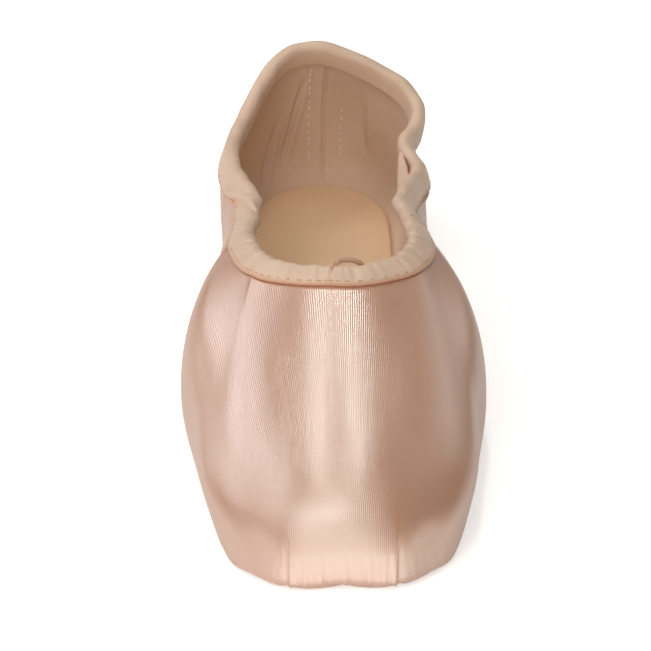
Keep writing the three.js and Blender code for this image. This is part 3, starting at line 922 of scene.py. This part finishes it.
satin_look, tree, shader = finish_material(
    "peach_satin", (0.69, 0.378, 0.245), (0.64, 0.342, 0.216), 45.0, (0.28, 0.32),
    {"IOR": 2.2, "Specular IOR Level": 1.0, "Anisotropic": 0.7, "Anisotropic Rotation": 0.25,
     "Sheen Weight": 0.15, "Sheen Roughness": 0.4, "Sheen Tint": (1.0, 0.86, 0.78, 1)})
add_threads(tree, shader, across=1900.0, along=900.0, unevenness=0.5, strength=0.15, grain=4.0)
thread_way = node(tree, "ShaderNodeTangent", direction_type="UV_MAP", uv_map="cloth")
tree.links.new(thread_way.outputs[0], shader.inputs["Tangent"])
casing_look, tree, shader = finish_material(
    "casing_satin", (0.80, 0.58, 0.43), (0.73, 0.51, 0.37), 90.0, (0.40, 0.50),
    {"Sheen Weight": 0.3, "Sheen Roughness": 0.5, "Sheen Tint": (1.0, 0.88, 0.8, 1)})
add_threads(tree, shader, across=1500.0, along=1900.0, unevenness=0.8, strength=0.16, grain=4.0)
drill_look, tree, shader = finish_material(
    "drill_cotton", (0.77, 0.57, 0.43), (0.69, 0.495, 0.36), 60.0, (0.8, 0.95), {"Sheen Weight": 0.1})
add_threads(tree, shader, across=2100.0, along=2100.0, unevenness=0.9, strength=0.2, grain=3.0)
board_look, _, _ = finish_material(
    "tan_board", (0.84, 0.60, 0.39), (0.77, 0.535, 0.335), 70.0, (0.42, 0.55), {"Specular IOR Level": 0.4})
leather_look, _, _ = finish_material(
    "sueded_leather", (0.50, 0.33, 0.21), (0.40, 0.25, 0.15), 220.0, (0.75, 0.95), {"Sheen Weight": 0.2})
coral_look, _, _ = finish_material(
    "coral_thread", (0.78, 0.44, 0.28), (0.68, 0.36, 0.22), 400.0, (0.55, 0.7), {"Sheen Weight": 0.2})
thread_look, _, _ = finish_material(
    "pale_thread", (0.90, 0.84, 0.76), (0.84, 0.76, 0.67), 500.0, (0.6, 0.8), {"Sheen Weight": 0.2})
cord_look, _, _ = finish_material(
    "cord_cotton", (0.70, 0.42, 0.28), (0.58, 0.33, 0.21), 900.0, (0.6, 0.8), {"Sheen Weight": 0.3})
for piece, look in (
    (satin_piece, satin_look), (lining_piece, drill_look), (casing_piece, casing_look),
    (piping_piece, coral_look), (casing_stitch_piece, coral_look), (lining_stitch_piece, thread_look),
    (insole_piece, board_look), (outsole_piece, leather_look), (drawstring, cord_look),
    (facing_piece, casing_look), (facing_thread, coral_look),
):
    piece.data.materials.append(look)
print("finishes:", len(bpy.data.materials))

# %% [markdown]
# The drawstring is a free cord. Both ends go back into the casing.

# %% Cord facts


# %% [markdown]
# ## Floor and light
# The photograph has a white floor and plain soft light. Satin mirrors what lights it, so each band on
# the shoe asks for a panel in one direction. Two narrow strips behind and above make the band
# down the middle of the vamp, and an arc of panels makes the paler band at the left. Wide panels
# in front and a low card on the floor light the flat end of the toe.

# %% Floor
FLOOR_HALF = 3
FLOOR_GLOW = 0.12
GLOW_IN_VIEW = 0.4


def add_floor():
    mesh = bpy.data.meshes.new("floor")
    corners = [(x * FLOOR_HALF, y * FLOOR_HALF, 0) for x, y in ((-1, -1), (1, -1), (1, 1), (-1, 1))]
    mesh.from_pydata(corners, [], [(0, 1, 2, 3)])
    floor = bpy.data.objects.new("floor", mesh)
    bpy.context.collection.objects.link(floor)
    white = bpy.data.materials.new("white_floor")
    white.use_nodes = True
    tree = white.node_tree
    shader = tree.nodes["Principled BSDF"]
    shader.inputs["Base Color"].default_value = (0.9, 0.9, 0.9, 1)
    shader.inputs["Roughness"].default_value = 0.9
    shader.inputs["Specular IOR Level"].default_value = 0.0
    shader.inputs["Emission Color"].default_value = (1, 1, 1, 1)
    seen = node(tree, "ShaderNodeLightPath")
    in_view = math_node(tree, "MULTIPLY", seen.outputs["Is Camera Ray"], GLOW_IN_VIEW)
    tree.links.new(math_node(tree, "ADD", in_view, FLOOR_GLOW), shader.inputs["Emission Strength"])
    mesh.materials.append(white)


add_floor()
print("floor", 2 * FLOOR_HALF, "m wide")

# %% Lights
LIT_SPOT = Vector((0, -0.06, 0.035))
PANEL_DISTANCE = 1.1
ROOM_LIGHT = 0.02


def add_panel(name, place, aim, size, brightness, colour):
    data = bpy.data.lights.new(name, "AREA")
    data.shape = "RECTANGLE"
    data.size, data.size_y = size
    data.energy = math.pi * brightness * size[0] * size[1]
    data.color = colour
    lamp = bpy.data.objects.new(name, data)
    lamp.location = place
    lamp.rotation_euler = (Vector(aim) - Vector(place)).to_track_quat("-Z", "Y").to_euler()
    bpy.context.collection.objects.link(lamp)


WARM = (1.0, 0.97, 0.90)
PLAIN = (1.0, 1.0, 1.0)
COOL = (1.0, 0.97, 0.99)
# name, azimuth from the heel side towards the right, elevation, width, height, brightness, colour
PANELS = (
    ("strip_behind", 2, 56, 0.10, 0.38, 11.9, WARM), ("strip_above", -2, 77, 0.10, 0.42, 9.0, WARM),
    ("left_arc_low", -34, 32, 0.20, 0.26, 4.0, COOL), ("left_arc_mid", -42, 42, 0.20, 0.22, 3.4, COOL),
    ("left_arc_high", -58, 48, 0.34, 0.24, 3.6, COOL), ("left_arc_side", -80, 43, 0.30, 0.24, 3.2, COOL),
    ("left_arc_end", -97, 31, 0.30, 0.26, 2.8, COOL), ("left_side", -112, 14, 0.30, 0.34, 1.0, PLAIN),
    ("left_back_floor", -60, 17, 0.50, 0.28, 2.1, PLAIN), ("left_front", -145, 51, 0.45, 0.45, 2.3, PLAIN),
    ("front_low", -175, 20, 1.15, 0.95, 1.3, WARM), ("front_high", -179, 66, 0.60, 0.70, 2.0, WARM),
    ("right_back", 48, 28, 0.55, 0.50, 0.9, PLAIN),
)


def panel_way(azimuth, elevation):
    a, e = math.radians(azimuth), math.radians(elevation)
    return Vector((math.sin(a) * math.cos(e), math.cos(a) * math.cos(e), math.sin(e)))


for name, azimuth, elevation, width, height, brightness, colour in PANELS:
    place = LIT_SPOT + panel_way(azimuth, elevation) * PANEL_DISTANCE
    add_panel(name, place, LIT_SPOT, (width, height), brightness, colour)
# the card lies on the floor and looks up, tilted by a hair so that its turn is settled
CARD_SIZE = (0.08, 0.28)
CARD_BRIGHTNESS = 0.7
card_place = Vector((0, -0.26, 0.0015))
card_aim = card_place + Vector((0, 0.0001, 1))
add_panel("floor_card", card_place, card_aim, CARD_SIZE, CARD_BRIGHTNESS, PLAIN)


def add_white_room(strength):
    world = bpy.data.worlds.new("white_room")
    bpy.context.scene.world = world
    world.use_nodes = True
    tree = world.node_tree
    seen = node(tree, "ShaderNodeLightPath")
    white = tree.nodes["Background"]
    white.inputs["Color"].default_value = (1, 1, 1, 1)
    soft = node(tree, "ShaderNodeBackground")
    soft.inputs["Color"].default_value = (1, 1, 1, 1)
    soft.inputs["Strength"].default_value = strength
    both = node(tree, "ShaderNodeMixShader")
    tree.links.new(seen.outputs["Is Camera Ray"], both.inputs[0])
    tree.links.new(soft.outputs[0], both.inputs[1])
    tree.links.new(white.outputs[0], both.inputs[2])
    tree.links.new(both.outputs[0], tree.nodes["World Output"].inputs["Surface"])


add_white_room(ROOM_LIGHT)
bpy.context.scene.view_settings.view_transform = "Standard"
bpy.context.scene.view_settings.look = "None"
